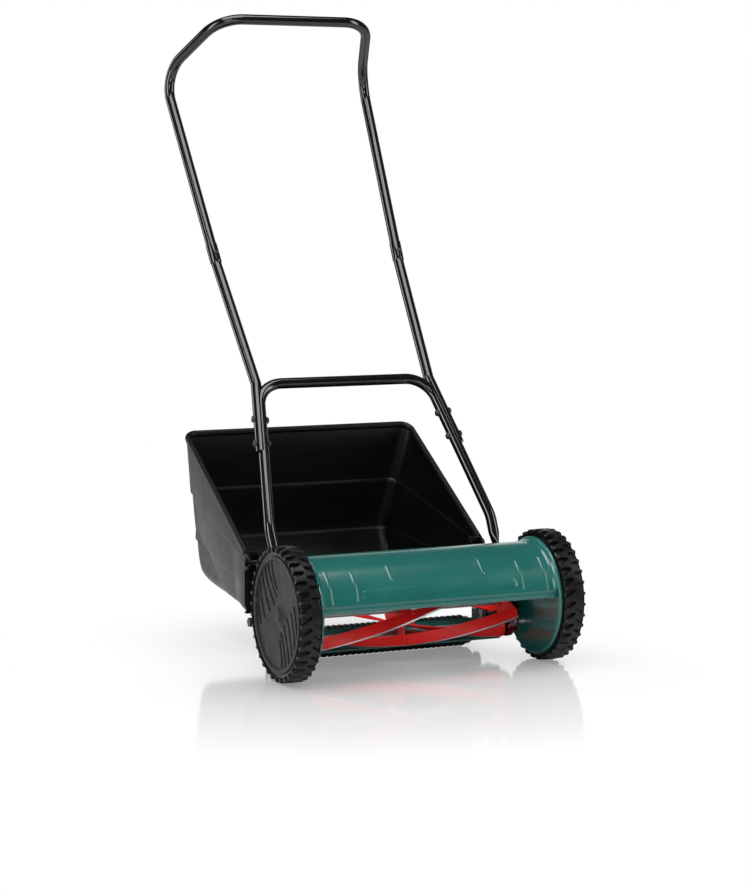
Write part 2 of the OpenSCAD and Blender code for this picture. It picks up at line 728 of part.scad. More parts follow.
module roller_bracket(side) {
    half_w = 14;
    color(black) in_place() on_side(side) difference() {
        union() {
            rod_x(roller_bracket_x, roller_y, roller_z, roller_bracket_t, half_w);
            rod_x(roller_bracket_x, roller_y, stud_z, roller_bracket_t, half_w);
            translate([roller_bracket_x, roller_y - half_w, roller_z])
                cube([roller_bracket_t, 2 * half_w, stud_rise]);
        }
        rod_x(roller_bracket_x - cut, roller_y, roller_z, roller_bracket_t + 2 * cut, roller_axle_r);
        rod_x(roller_bracket_x - cut, roller_y, stud_z, roller_bracket_t + 2 * cut, stud_r);
    }
}

module roller_axle() {
    color(bright_steel) in_place()
        rod_x(-roller_bracket_x - roller_bracket_t, roller_y, roller_z,
            2 * (roller_bracket_x + roller_bracket_t), roller_axle_r);
}

module clamp_studs() {
    tip = bracket_out + knob_neck + knob_len - 6;
    color(bright_steel) in_place() for (side = [-1, 1]) on_side(side) {
        rod_x(roller_bracket_x, roller_y, stud_z, tip - roller_bracket_x, stud_r);
        rod_x(roller_bracket_x - 3, roller_y, stud_z, 3, stud_r + 4);
    }
}

module height_knob(side) {
    start = bracket_out + loose_gap;
    color(black) in_place() on_side(side) difference() {
        union() {
            rod_x(start, roller_y, stud_z, knob_neck, knob_r - 1.5);
            rod_x(start + knob_neck - 1, roller_y, stud_z, knob_len, knob_r);
        }
        rod_x(start - cut, roller_y, stud_z, knob_neck + knob_len - 4, stud_r + run_gap);
        for (a = [0 : 60 : 300]) translate([0, roller_y, stud_z]) rotate([a, 0, 0])
            rod_x(start + knob_neck + 2, 0, knob_r + 1.2, knob_len, 2.2);
    }
}

module roller() {
    rib_pitch = 10.5;
    rib_w = 4;
    groove = 2.5;
    bush_w = 12;
    end_r = 8;
    rib_count = floor((roller_half - end_r - rib_w) / rib_pitch);
    color(black) in_place() difference() {
        union() {
            rod_x(-roller_half, roller_y, roller_z, 2 * roller_half, roller_r - groove);
            for (i = [-rib_count : rib_count])
                rod_x(i * rib_pitch - rib_w / 2, roller_y, roller_z, rib_w, roller_r);
        }
        rod_x(-roller_half - cut, roller_y, roller_z, 2 * (roller_half + cut), roller_axle_r + 1);
        for (side = [-1, 1]) on_side(side)
            rod_x(roller_half - bush_w, roller_y, roller_z, bush_w + cut, roller_axle_r + 4);
    }
}

module roller_bushes() {
    bush_w = 12;
    color(bronze) in_place() for (side = [-1, 1]) on_side(side)
        ring_x(roller_half - bush_w, roller_y, roller_z, bush_w, roller_axle_r + 4, roller_axle_r + run_gap);
}

// --- Handle --------------------------------------------------------------------------------

leg_dir = unit(cross_corner - leg_bend);
leg_out = unit([1, 0, 0] - leg_dir.x * leg_dir);
saddle_shift = tube_r / 2;
saddle_foot = cross_corner + saddle_shift * leg_out - saddle_len * leg_dir;
saddle_bend = cross_corner + saddle_shift * leg_out;
side_dir = unit(joint_point - saddle_bend);
upper_dir = unit(shoulder - joint_point);
socket_top = joint_point + socket_len * upper_dir;
upper_start = joint_point + 6 * upper_dir;

function leg_point(s) = cross_corner - s * leg_dir;
function leg_points() = [leg_foot, leg_bend, cross_corner];

module handle_bolt_hole(s, r) {
    bar(leg_point(s) - 20 * leg_out, leg_point(s) + 25 * leg_out, r);
}

module joint_screw_hole(r) {
    front = unit(cross([1, 0, 0], upper_dir));
    middle = joint_point + socket_len / 2 * upper_dir;
    bar(middle, middle + 20 * front, r);
}

module lower_handle() {
    points = concat(leg_points(), reversed([for (p = leg_points()) flipped(p)]));
    bends = [leg_bend_r, cross_bend_r, cross_bend_r, leg_bend_r];
    tongue_x = bracket_out + loose_gap;
    color(black) in_place() difference() {
        union() {
            tube_run(points, bends, tube_r, tube_wall);
            for (side = [-1, 1]) on_side(side) {
                rod_x(tongue_x, pivot_y, pivot_z, tongue_t, tongue_r);
                bar(leg_foot, leg_foot + unit(leg_bend - leg_foot) * 3, tube_r - tube_wall / 2);
                plate_x(tongue_x, tongue_t, [
                    [pivot_y - 10.3, pivot_z - 2], [pivot_y + 9, pivot_z - 5.4],
                    [leg_foot.y + 9, leg_foot.z + 1], [leg_foot.y - 7, leg_foot.z + 8],
                ]);
            }
        }
        for (side = [-1, 1]) on_side(side) {
            rod_x(tongue_x - 4, pivot_y, pivot_z, tongue_t + 12, pivot_r + run_gap);
            for (s = bolt_places) handle_bolt_hole(s, bolt_r);
        }
    }
}

module side_tube(side) {
    nest_top = saddle_bend - 4 * leg_dir;
    swage = joint_point + 5 * upper_dir;
    color(black) in_place() on_side(side) difference() {
        union() {
            bar(saddle_foot, nest_top, tube_r + lap_step);
            tube_run([nest_top - lap * leg_dir, saddle_bend, joint_point, swage + lap * upper_dir],
                [15, 60], tube_r, tube_wall);
            bar(swage, socket_top, socket_r);
        }
        rod_run([leg_point(saddle_len + 20), cross_corner, [0, cross_corner.y, cross_corner.z]],
            [cross_bend_r], tube_r + fit_gap);
        bar(upper_start, socket_top + cut * upper_dir, tube_r + fit_gap);
        bar(swage - lap * upper_dir, upper_start + cut * upper_dir, tube_r - tube_wall + lap_step);
        for (s = bolt_places) handle_bolt_hole(s, bolt_r);
        joint_screw_hole(2);
    }
}

module upper_handle() {
    points = concat([upper_start, shoulder, grip_corner],
        reversed([for (p = [upper_start, shoulder, grip_corner]) flipped(p)]));
    bends = [shoulder_bend_r, grip_bend_r, grip_bend_r, shoulder_bend_r];
    color(black) in_place() difference() {
        tube_run(points, bends, tube_r, tube_wall);
        for (side = [-1, 1]) on_side(side) joint_screw_hole(2);
    }
}

module handle_bolts() {
    head_h = 3.5;
    outer = saddle_shift + tube_r;
    color(bright_steel) in_place() for (side = [-1, 1], s = bolt_places) on_side(side) {
        p = leg_point(s);
        bar(p - (tube_r + 4) * leg_out, p + (outer + 1) * leg_out, bolt_r);
        bar(p + outer * leg_out, p + (outer + head_h) * leg_out, bolt_r + 3.2);
        bar(p - (tube_r + 4.5) * leg_out, p - tube_r * leg_out, bolt_r + 3);
    }
}

module joint_screws() {
    front = unit(cross([1, 0, 0], upper_dir));
    middle = joint_point + socket_len / 2 * upper_dir;
    color(bright_steel) in_place() for (side = [-1, 1]) on_side(side) {
        bar(middle + (tube_r - 3) * front, middle + (socket_r + 1) * front, 2);
        bar(middle + socket_r * front, middle + (socket_r + 2.6) * front, 4);
    }
}

// --- Grass box -----------------------------------------------------------------------------

function normal_at(path, i) =
    let (a = path[max(0, i - 1)], b = path[min(len(path) - 1, i + 1)], d = unit(b - a)) [-d.y, d.x];
function inset(path, depth) = [for (i = [0 : len(path) - 1]) path[i] + depth * normal_at(path, i)];

// Place on the rim line above a profile point, and the side wall's lean at that point
function rim_point(y) =
    let (share = min(1, max(0, (y - box_front_y) / (box_rear.x - box_front_y))))
    box_hook + share * (box_rear - box_hook);
function box_lean(p) = box_taper * min(box_taper_depth, max(0, rim_point(p.x).y - p.y))
    * min(1, (p.x - box_front_y) / 300);

// A solid tub: the profile across its width, with leaning sides up to the rim. lift raises its top.
module box_solid(path, half_w, lift) {
    last = len(path) - 1;
    function corner(side, i) = [side * (half_w - box_lean(path[i])), path[i].x, path[i].y];
    function edge(side, i) = let (p = rim_point(path[i].x)) [side * half_w, p.x, p.y + lift];
    points = concat([for (i = [0 : last]) corner(-1, i)], [for (i = [0 : last]) corner(1, i)],
        [for (i = [0 : last]) edge(-1, i)], [for (i = [0 : last]) edge(1, i)]);
    n = last + 1;
    rear = [for (i = [0 : last]) if (path[i].x >= box_rear.x) i][0];
    faces = concat(
        [for (i = [0 : last - 1]) [i, i + 1, n + i + 1, n + i]],
        [for (i = [0 : rear - 2]) each [[i, 2 * n + i, 2 * n + i + 1], [i, 2 * n + i + 1, i + 1]]],
        [for (i = [0 : rear - 2]) each [[n + i, 3 * n + i + 1, 3 * n + i], [n + i, n + i + 1, 3 * n + i + 1]]],
        [[rear - 1, 2 * n + rear - 1, 2 * n + last], [n + rear - 1, 3 * n + last, 3 * n + rear - 1]],
        [for (i = [rear - 1 : last - 1]) each [[i, 2 * n + last, i + 1], [n + i, n + i + 1, 3 * n + last]]],
        [[last, 2 * n + last, 3 * n + last, n + last], [0, n, 3 * n, 2 * n]],
        [concat([for (i = [0 : rear - 1]) 3 * n + i], [3 * n + last, 2 * n + last],
            [for (i = [rear - 1 : -1 : 0]) 2 * n + i])]
    );
    polyhedron(points, [for (f = faces) reversed(f)]);
}

module box_shell() {
    rim_x = box_half_w - 1;
    rim_back = [rim_x, box_rear.x, box_rear.y];
    corner_bulge = 0.3;
    inner = inset(box_floor, box_wall);
    difference() {
        box_solid(box_floor, box_half_w, 1);
        box_solid(concat([inner[0] - [cut, 0]], inner), box_half_w - box_wall, 2 * box_wall);
    }
    for (side = [-1, 1]) on_side(side) {
        bar(rim_back, [rim_x, box_hook.x, box_hook.y], rim_bead);
        rod_x(rim_x - rim_bead - corner_bulge, rim_back.y, rim_back.z,
            2 * (rim_bead + corner_bulge), rim_bead + corner_bulge);
        translate([box_half_w - box_flange_w, box_front_y, box_lip_z - 6])
            cube([box_flange_w, box_wall, box_hook.y - box_lip_z + 6]);
    }
    bar(flipped(rim_back), rim_back, rim_bead);
}

// A hook plate with a slot that opens forwards and down, against the lift-off direction
module box_hooks() {
    away = [-cos(lift_angle), -sin(lift_angle)];
    aside = [-away.y, away.x] * (box_pin_r + loose_gap);
    pin = [pin_y, pin_z];
    for (side = [-1, 1]) on_side(side) difference() {
        plate_x(box_half_w - box_wall, hook_t + box_wall, [
            [box_front_y + 8, pin_z - 18], [box_front_y + 2, pin_z - 16], [pin_y + 1, pin_z - 13],
            [pin_y - 11, pin_z - 7], [pin_y - 12, pin_z + 4], [pin_y - 6, pin_z + 13],
            [pin_y + 4, pin_z + 17], [box_front_y + 10, pin_z + 18],
        ]);
        rod_x(box_half_w - 10, pin.x, pin.y, 20, box_pin_r + loose_gap);
        plate_x(box_half_w - 10, 20, [pin + aside, pin - aside, pin - aside + 25 * away, pin + aside + 25 * away]);
    }
}

module grass_box() {
    color(black) in_place() {
        box_shell();
        box_hooks();
    }
}

side_plate(-1);  // side_plate_left
side_plate(1);  // side_plate_right
top_cover();
cover_screws();
tie_rod();
tie_rod_nuts();
knife_carrier();
bed_knife();
knife_screws();
carrier_bolts();
knife_adjusters();
rear_bracket(-1);  // rear_bracket_left
rear_bracket(1);  // rear_bracket_right
bracket_rivets();
wheel_axle(-1);  // wheel_axle_left
wheel_axle(1);  // wheel_axle_right
axle_clips();
reel_bearing(-1);  // reel_bearing_left
reel_bearing(1);  // reel_bearing_right
handle_pivots();
box_pins();
wheel(-1);  // wheel_left
tyre(-1);  // tyre_left
wheel_cover(-1);  // wheel_cover_left
hub_cap(-1);  // hub_cap_left
wheel_bush(-1);  // wheel_bush_left
wheel(1);  // wheel_right
tyre(1);  // tyre_right
wheel_cover(1);  // wheel_cover_right
hub_cap(1);  // hub_cap_right
wheel_bush(1);  // wheel_bush_right
reel_shaft();
spider(spider_places[0]);  // spider_left
spider(spider_places[1]);  // spider_middle
spider(spider_places[2]);  // spider_right
blade(1);  // blade_1
blade(2);  // blade_2
blade(3);  // blade_3
blade(4);  // blade_4
blade(5);  // blade_5
pinion(-1);  // pinion_left
pinion(1);  // pinion_right
ratchet_key(-1);  // ratchet_key_left
ratchet_key(1);  // ratchet_key_right
pinion_clips();
roller_bracket(-1);  // roller_bracket_left
roller_bracket(1);  // roller_bracket_right
roller_axle();
clamp_studs();
height_knob(-1);  // height_knob_left
height_knob(1);  // height_knob_right
roller();
roller_bushes();
lower_handle();
side_tube(-1);  // side_tube_left
side_tube(1);  // side_tube_right
upper_handle();
handle_bolts();
joint_screws();
grass_box();
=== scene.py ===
import math

import bmesh
import bpy
from mathutils import Matrix, Vector


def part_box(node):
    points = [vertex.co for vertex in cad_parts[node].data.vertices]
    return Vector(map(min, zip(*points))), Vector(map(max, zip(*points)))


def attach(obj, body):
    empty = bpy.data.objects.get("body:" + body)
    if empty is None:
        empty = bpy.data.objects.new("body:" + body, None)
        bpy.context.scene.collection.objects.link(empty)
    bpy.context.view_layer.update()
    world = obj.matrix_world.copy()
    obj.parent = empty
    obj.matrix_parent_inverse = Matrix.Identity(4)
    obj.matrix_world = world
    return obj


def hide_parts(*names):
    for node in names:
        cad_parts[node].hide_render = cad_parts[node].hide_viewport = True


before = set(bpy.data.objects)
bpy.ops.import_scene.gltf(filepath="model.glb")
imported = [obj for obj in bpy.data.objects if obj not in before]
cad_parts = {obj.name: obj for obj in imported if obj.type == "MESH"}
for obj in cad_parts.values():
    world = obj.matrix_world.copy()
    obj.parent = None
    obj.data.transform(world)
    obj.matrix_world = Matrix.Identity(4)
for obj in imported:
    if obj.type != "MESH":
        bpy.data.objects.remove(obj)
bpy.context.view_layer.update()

MM = 0.001
SIDES = {"left": -1, "right": 1}
tyre_low, tyre_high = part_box("tyre_right")
AXLE_Y = (tyre_low.y + tyre_high.y) / 2
AXLE_Z = (tyre_low.z + tyre_high.z) / 2 / MM
WHEEL_R = AXLE_Z


# --- Mesh helpers. Lengths are in mm from the middle plane, the wheel axle line and the ground. ---


def place(x, y, z):
    return Vector((x * MM, AXLE_Y + y * MM, z * MM))


def smooth_step(low, high, value):
    t = min(1.0, max(0.0, (value - low) / (high - low)))
    return t * t * (3 - 2 * t)


def add_mesh(name, points, faces, crease=38):
    mesh = bpy.data.meshes.new(name)
    mesh.from_pydata([tuple(p) for p in points], [], faces)
    shape = bmesh.new()
    shape.from_mesh(mesh)
    bmesh.ops.remove_doubles(shape, verts=shape.verts, dist=1e-6)
    bmesh.ops.dissolve_degenerate(shape, edges=shape.edges, dist=1e-7)
    bmesh.ops.recalc_face_normals(shape, faces=shape.faces)
    shape.to_mesh(mesh)
    shape.free()
    mesh.shade_smooth()
    mesh.set_sharp_from_angle(angle=math.radians(crease))
    obj = bpy.data.objects.new(name, mesh)
    bpy.context.scene.collection.objects.link(obj)
    return obj


def grid_faces(rows, columns, start=0, loop_rows=False, loop_columns=False):
    faces = []
    for i in range(rows if loop_rows else rows - 1):
        for j in range(columns if loop_columns else columns - 1):
            a, b = i * columns, (i + 1) % rows * columns
            k = (j + 1) % columns
            faces.append([start + a + j, start + a + k, start + b + k, start + b + j])
    return faces


def across(direction):
    other = Vector((0, 0, 1)) if abs(direction.z) < 0.9 else Vector((1, 0, 0))
    return direction.cross(other).normalized()


def lathe(name, origin, axis, profile, steps=96, closed=False, start=0, span=360, crease=38):
    """A profile of (radius, distance along the axis), turned about the axis."""
    axis = Vector(axis).normalized()
    u = across(axis)
    if abs(axis.x) > 0.99:
        u = Vector((0, 0, 1))
    v = axis.cross(u)
    whole = span >= 360
    count = steps if whole else steps + 1
    points = []
    for i in range(count):
        angle = math.radians(start + span * i / steps)
        out = u * math.cos(angle) + v * math.sin(angle)
        points += [origin + (out * r + axis * a) * MM for r, a in profile]
    faces = grid_faces(count, len(profile), 0, whole, closed)
    if not whole and closed:
        faces.append(list(range(len(profile))))
        faces.append(list(range((count - 1) * len(profile), count * len(profile))))
    return add_mesh(name, points, faces, crease)


def rounded_path(points, radii, step=4.0):
    """A line through points, each inner one rounded with its radius."""
    path = [points[0]]
    for i in range(1, len(points) - 1):
        a, p, b = points[i - 1], points[i], points[i + 1]
        before, after = (p - a).normalized(), (b - p).normalized()
        turn = before.angle(after)
        radius = radii[i - 1] * MM
        setback = radius * math.tan(turn / 2)
        centre = p + (after - before).normalized() * (radius / math.cos(turn / 2))
        begin = p - before * setback
        arm = begin - centre
        normal = before.cross(after).normalized()
        count = max(4, round(turn * radius / (step * MM)))
        for k in range(count + 1):
            path.append(centre + Matrix.Rotation(turn * k / count, 3, normal) @ arm)
    path.append(points[-1])
    return path


def section_ring(wide, high, count):
    return [
        (wide * math.cos(2 * math.pi * i / count), high * math.sin(2 * math.pi * i / count))
        for i in range(count)
    ]


def sweep(name, path, size, count=32, first_across=None, crease=38):
    """A tube along a path. size is a radius, or a function of the distance along that gives two."""
    points, faces, travelled = [], [], 0.0
    tangent = (path[1] - path[0]).normalized()
    u = first_across or across(tangent)
    u = (u - tangent * u.dot(tangent)).normalized()
    for i, p in enumerate(path):
        ahead = path[min(i + 1, len(path) - 1)] - path[max(i - 1, 0)]
        turned = ahead.normalized()
        u = (u - turned * u.dot(turned)).normalized()
        v = turned.cross(u)
        if i:
            travelled += (p - path[i - 1]).length / MM
        wide, high = size(travelled) if callable(size) else (size, size)
        points += [p + (u * a + v * b) * MM for a, b in section_ring(wide, high, count)]
    faces = grid_faces(len(path), count, 0, False, True)
    faces.append(list(range(count)))
    faces.append(list(range((len(path) - 1) * count, len(path) * count)))
    return add_mesh(name, points, faces, crease)


def extruded(name, outline, x, thickness, bevel=0.0):
    """An outline in (Y, Z), from x and thickness deep."""
    count = len(outline)
    points = [place(x + d, *p) for d in (0, thickness) for p in outline]
    faces = [list(range(count)), list(range(2 * count - 1, count - 1, -1))]
    faces += [[i, (i + 1) % count, count + (i + 1) % count, count + i] for i in range(count)]
    obj = add_mesh(name, points, faces)
    if bevel:
        soften(obj, bevel)
    return obj


def block(name, low, high, bevel=0.8):
    outline = [(low[1], low[2]), (high[1], low[2]), (high[1], high[2]), (low[1], high[2])]
    return extruded(name, outline, low[0], high[0] - low[0], bevel)


def soften(obj, width, segments=3):
    edge = obj.modifiers.new("soft_edges", "BEVEL")
    edge.width = width * MM
    edge.segments = segments
    edge.limit_method = "ANGLE"
    edge.angle_limit = math.radians(40)
    edge.harden_normals = False
    return obj


def thicken(obj, depth):
    wall = obj.modifiers.new("wall", "SOLIDIFY")
    wall.thickness = depth * MM
    wall.offset = 1
    return obj


def joined(name, objects):
    """Several meshes as one piece."""
    depsgraph = bpy.context.evaluated_depsgraph_get()
    whole = bmesh.new()
    for obj in objects:
        evaluated = obj.evaluated_get(depsgraph)
        part = evaluated.to_mesh()
        part.transform(obj.matrix_world)
        whole.from_mesh(part)
        evaluated.to_mesh_clear()
    mesh = bpy.data.meshes.new(name)
    whole.to_mesh(mesh)
    whole.free()
    for obj in objects:
        bpy.data.objects.remove(obj)
    result = bpy.data.objects.new(name, mesh)
    bpy.context.scene.collection.objects.link(result)
    mesh.shade_smooth()
    mesh.set_sharp_from_angle(angle=math.radians(38))
    return result


# --- Materials ---


def shader(name):
    material = bpy.data.materials.new(name)
    material.use_nodes = True
    tree = material.node_tree
    tree.nodes.clear()
    output = tree.nodes.new("ShaderNodeOutputMaterial")
    surface = tree.nodes.new("ShaderNodeBsdfPrincipled")
    tree.links.new(surface.outputs[0], output.inputs[0])
    return material, tree, surface


def noise(tree, scale, detail=4.0, stretch=(1, 1, 1)):
    places = tree.nodes.new("ShaderNodeTexCoord")
    mapping = tree.nodes.new("ShaderNodeMapping")
    mapping.inputs["Scale"].default_value = stretch
    tree.links.new(places.outputs["Object"], mapping.inputs["Vector"])
    pattern = tree.nodes.new("ShaderNodeTexNoise")
    pattern.inputs["Scale"].default_value = scale
    pattern.inputs["Detail"].default_value = detail
    tree.links.new(mapping.outputs[0], pattern.inputs["Vector"])
    return pattern.outputs[0]


def ranged(tree, value, low, high, to_low, to_high):
    node = tree.nodes.new("ShaderNodeMapRange")
    for socket, number in zip(("From Min", "From Max", "To Min", "To Max"), (low, high, to_low, to_high)):
        node.inputs[socket].default_value = number
    tree.links.new(value, node.inputs["Value"])
    return node.outputs[0]


def mixed(tree, share, first, second):
    node = tree.nodes.new("ShaderNodeMix")
    node.data_type = "RGBA"
    tree.links.new(share, node.inputs[0])
    for socket, colour in ((node.inputs[6], first), (node.inputs[7], second)):
        if isinstance(colour, tuple):
            socket.default_value = (*colour, 1)
        else:
            tree.links.new(colour, socket)
    return node.outputs[2]


def bumped(tree, height, strength, distance, before=None):
    node = tree.nodes.new("ShaderNodeBump")
    node.inputs["Strength"].default_value = strength
    node.inputs["Distance"].default_value = distance * MM
    tree.links.new(height, node.inputs["Height"])
    if before:
        tree.links.new(before, node.inputs["Normal"])
    return node.outputs[0]


def coated(name, colour, worn, gloss, wear, grain, coat=0.0, metal=0.0, stretch=(1, 1, 1), sheen=0.5):
    """A finish: colour drifts a little, scuffs show the worn colour, and gloss varies between two values.
    grain is (scale, strength, depth in mm)."""
    material, tree, surface = shader(name)
    cloud = noise(tree, 14, 3, stretch)
    darker, lighter = (tuple(c * share for c in colour) for share in (0.9, 1.1))
    drift = mixed(tree, ranged(tree, cloud, 0.3, 0.7, 0, 1), darker, lighter)
    scuffs = ranged(tree, noise(tree, 130, 8, stretch), wear, wear + 0.07, 0, 0.5)
    tree.links.new(mixed(tree, scuffs, drift, worn), surface.inputs["Base Color"])
    tree.links.new(ranged(tree, noise(tree, 40, 5, stretch), 0.3, 0.7, *gloss), surface.inputs["Roughness"])
    fine = noise(tree, grain[0], 2, stretch)
    tree.links.new(bumped(tree, fine, grain[1], grain[2]), surface.inputs["Normal"])
    surface.inputs["Metallic"].default_value = metal
    surface.inputs["Coat Weight"].default_value = coat
    surface.inputs["Coat Roughness"].default_value = 0.06
    surface.inputs["Specular IOR Level"].default_value = sheen
    return material


FINISHES = {
    "green_paint": coated("green_enamel", (0.006, 0.098, 0.084), (0.010, 0.115, 0.100), (0.20, 0.28), 0.68,
                          (420, 0.08, 0.2), coat=0.35),
    "red_paint": coated("red_enamel", (0.78, 0.016, 0.013), (0.60, 0.03, 0.025), (0.42, 0.52), 0.66,
                        (420, 0.10, 0.25), coat=0.04, sheen=0.3),
    "black_paint": coated("black_powder_coat", (0.0015, 0.0015, 0.0018), (0.008, 0.008, 0.009), (0.10, 0.16),
                          0.70, (650, 0.05, 0.1), coat=0.2),
    "black_fastener": coated("black_oxide", (0.005, 0.005, 0.006), (0.03, 0.03, 0.03), (0.3, 0.45), 0.64,
                             (500, 0.15, 0.2)),
    "moulded_black": coated("grained_moulding", (0.004, 0.004, 0.0045), (0.012, 0.012, 0.013), (0.28, 0.38),
                            0.66, (900, 0.2, 0.2), sheen=0.4),
    "box_plastic": coated("satin_moulding", (0.0025, 0.0025, 0.0028), (0.006, 0.006, 0.0065), (0.30, 0.38),
                          0.68, (700, 0.12, 0.2), sheen=0.22),
    "tread_rubber": coated("tread_rubber", (0.003, 0.003, 0.0033), (0.010, 0.010, 0.010), (0.30, 0.42), 0.62,
                           (500, 0.2, 0.3), sheen=0.25),
    "zinc_steel": coated("zinc_plate", (0.50, 0.51, 0.53), (0.3, 0.3, 0.3), (0.25, 0.4), 0.66,
                         (500, 0.1, 0.2), metal=1.0),
    "ground_steel": coated("ground_steel", (0.62, 0.62, 0.64), (0.35, 0.33, 0.31), (0.22, 0.38), 0.66,
                           (900, 0.3, 0.2), metal=1.0, stretch=(0.1, 1, 1)),
    "bearing_bronze": coated("sintered_bronze", (0.42, 0.28, 0.15), (0.2, 0.15, 0.1), (0.35, 0.5), 0.62,
                             (900, 0.3, 0.2), metal=1.0),
}
WHEEL_FACE = coated("wheel_face_grain", (0.006, 0.006, 0.0065), (0.035, 0.035, 0.037), (0.30, 0.42), 0.56,
                    (900, 1.0, 0.8), sheen=0.2)


def finished(obj, body, slot_name, *nodes, material=None):
    """Gives a piece its finish and its body, and hides the CAD nodes that it stands for."""
    obj.data.materials.clear()
    obj.data.materials.append(material or FINISHES[slot_name])
    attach(obj, body)
    if nodes:
        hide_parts(*nodes)
    return obj


# --- Wheels ---

TYRE_IN, TYRE_OUT = 210.5, 246.5
RIM_R = 98
FACE_X = 246.4
LUGS = 36
NOTCH_DEPTH = 6.5
FACE_R = 85
DISH_HUB, DISH_RIM = 6.0, 2.5
HUB_CAP_R = 12
GROOVE_DEPTH = 5.5
GROOVE_HALF = 3.0
# Each groove of the upper group: its top and bottom ends, from the wheel's centre
GROOVES = [
    ((20, 79), (6, 41)), ((33.5, 75), (9.5, 28)), ((46.5, 68), (19, 15)), ((58.5, 58), (35, 2)),
    ((70, 44), (53, -11)), ((79, 25), (68, -22)), ((84, 6), (79, -30)),
]


def notch_share(turn, s):
    """How deep a tread notch is, 0 to 1, at a share of the pitch and a share s from shoulder to middle."""
    middle = 0.30 + 0.32 * s
    half = 0.34 * (1 - s) + 0.07
    edge = abs(turn - middle)
    return (1 - smooth_step(half - 0.07, half + 0.03, edge)) * (1 - smooth_step(0.86, 0.93, s))


def tread_radius(turn, across_tyre):
    """Tread height at a turn in pitches and a share of the width, 0 at the inner shoulder."""
    outer = across_tyre > 0.5
    s = (1 - across_tyre) * 2 if outer else across_tyre * 2
    shift = 0.0 if outer else 0.5
    notch = notch_share((turn + shift) % 1.0, s)
    crown = 1.6 * (1 - smooth_step(0, 0.16, s)) + 0.4 * (1 - s)
    return WHEEL_R - 0.05 - crown - NOTCH_DEPTH * notch


def tread(name, side):
    per_lug, columns = 14, 30
    around = LUGS * per_lug
    points = []
    for i in range(around):
        angle = 2 * math.pi * i / around
        ring = [(RIM_R, 0), (RIM_R + 2.5, 0)]
        for j in range(columns + 1):
            share = j / columns
            ring.append((tread_radius(i / per_lug, share), share * (TYRE_OUT - TYRE_IN)))
        ring += [(RIM_R + 2.5, TYRE_OUT - TYRE_IN), (RIM_R, TYRE_OUT - TYRE_IN)]
        for r, a in ring:
            x = side * (TYRE_IN + a)
            points.append(place(x, r * math.sin(angle), AXLE_Z + r * math.cos(angle)))
    count = columns + 5
    return add_mesh(name, points, grid_faces(around, count, 0, True, True), 32)


def groove_depth(y, z):
    depth = 0.0
    for turn in (1, -1):
        py, pz = y * turn, z * turn
        for (top_y, top_z), (low_y, low_z) in GROOVES:
            t = (top_z - pz) / (top_z - low_z)
            centre = top_y + (low_y - top_y) * t ** 1.5 if t > 0 else top_y
            end = min(pz - low_z, 0.0) if t > 0.5 else min(top_z - pz, 0.0)
            depth = max(
                depth,
                (1 - smooth_step(GROOVE_HALF - 0.5, GROOVE_HALF + 0.5, abs(py - centre)))
                * smooth_step(-1.6, -0.2, end),
            )
    return GROOVE_DEPTH * depth


def wheel_face(name, side):
    """The dished disc with two groups of grooves, and the raised ring round it."""
    fine, long_step = 0.8, 1.6
    columns, rows = int(2 * FACE_R / fine) + 1, int(2 * FACE_R / long_step) + 1
    points, outside = [], []
    for j in range(rows):
        for i in range(columns):
            y, z = -FACE_R + i * fine, -FACE_R + j * long_step
            r = math.hypot(y, z)
            outside.append(r > FACE_R)
            if r > FACE_R:
                y, z, r = y * FACE_R / r, z * FACE_R / r, FACE_R
            dish = DISH_HUB + (DISH_RIM - DISH_HUB) * smooth_step(HUB_CAP_R, FACE_R, r)
            boss = 2.2 * (1 - smooth_step(HUB_CAP_R + 1, HUB_CAP_R + 9, r))
            x = FACE_X - dish + boss - groove_depth(y, z)
            points.append(place(side * x, y, AXLE_Z + z))
    faces = [f for f in grid_faces(rows, columns) if not all(outside[k] for k in f)]
    disc = add_mesh(name + "_disc", points, faces, 60)
    ring = lathe(name + "_ring", place(side * FACE_X, 0, AXLE_Z), (side, 0, 0), [
        (FACE_R - 0.8, -4.5), (FACE_R - 0.6, -2.2), (FACE_R + 0.6, -0.7), (FACE_R + 1.8, -0.1), (91.0, 0),
        (92.2, -0.4), (92.7, -1.4), (92.7, -12), (90.7, -12), (90.5, -4.5),
    ], 160, closed=True)
    return joined(name, [disc, ring])


def hub_cap(name, side):
    return lathe(name, place(side * FACE_X, 0, AXLE_Z), (side, 0, 0), [
        (0, -2.0), (5, -2.05), (9, -2.3), (11, -2.9), (11.8, -3.8), (12, -5), (12, -13), (0, -13),
    ], 64)


def build_wheels():
    for word, side in SIDES.items():
        body = "wheel_" + word
        finished(tread("tread_" + word, side), body, "tread_rubber", "tyre_" + word)
        finished(wheel_face("wheel_face_" + word, side), body, "moulded_black", "wheel_cover_" + word,
                 material=WHEEL_FACE)
        finished(hub_cap("hub_dome_" + word, side), body, "moulded_black", "hub_cap_" + word,
                 material=WHEEL_FACE)


# --- Chassis ---

COVER_R, COVER_WALL = 88.5, 2.0
COVER_FRONT, COVER_BACK = 76, 32
PLATE_IN = 205
LIP, LIP_BULGE = 13, 1.5
# Rows of the crease above the lip and of the hem below its bulge: how far back, how far down, and the lean
COVER_CREASE = ((0.25, -0.9, 70), (-0.15, 0.3, 62), (0.0, 1.3, 88), (0.35, 2.6, 96), (0.45, 4.2, 92))
LIP_HEM = ((0.45, 9.4, 90), (0.45, 11.6, 90), (0.7, 12.6, 110), (1.6, 13.0, 170))
COVER_HALF = 204.8


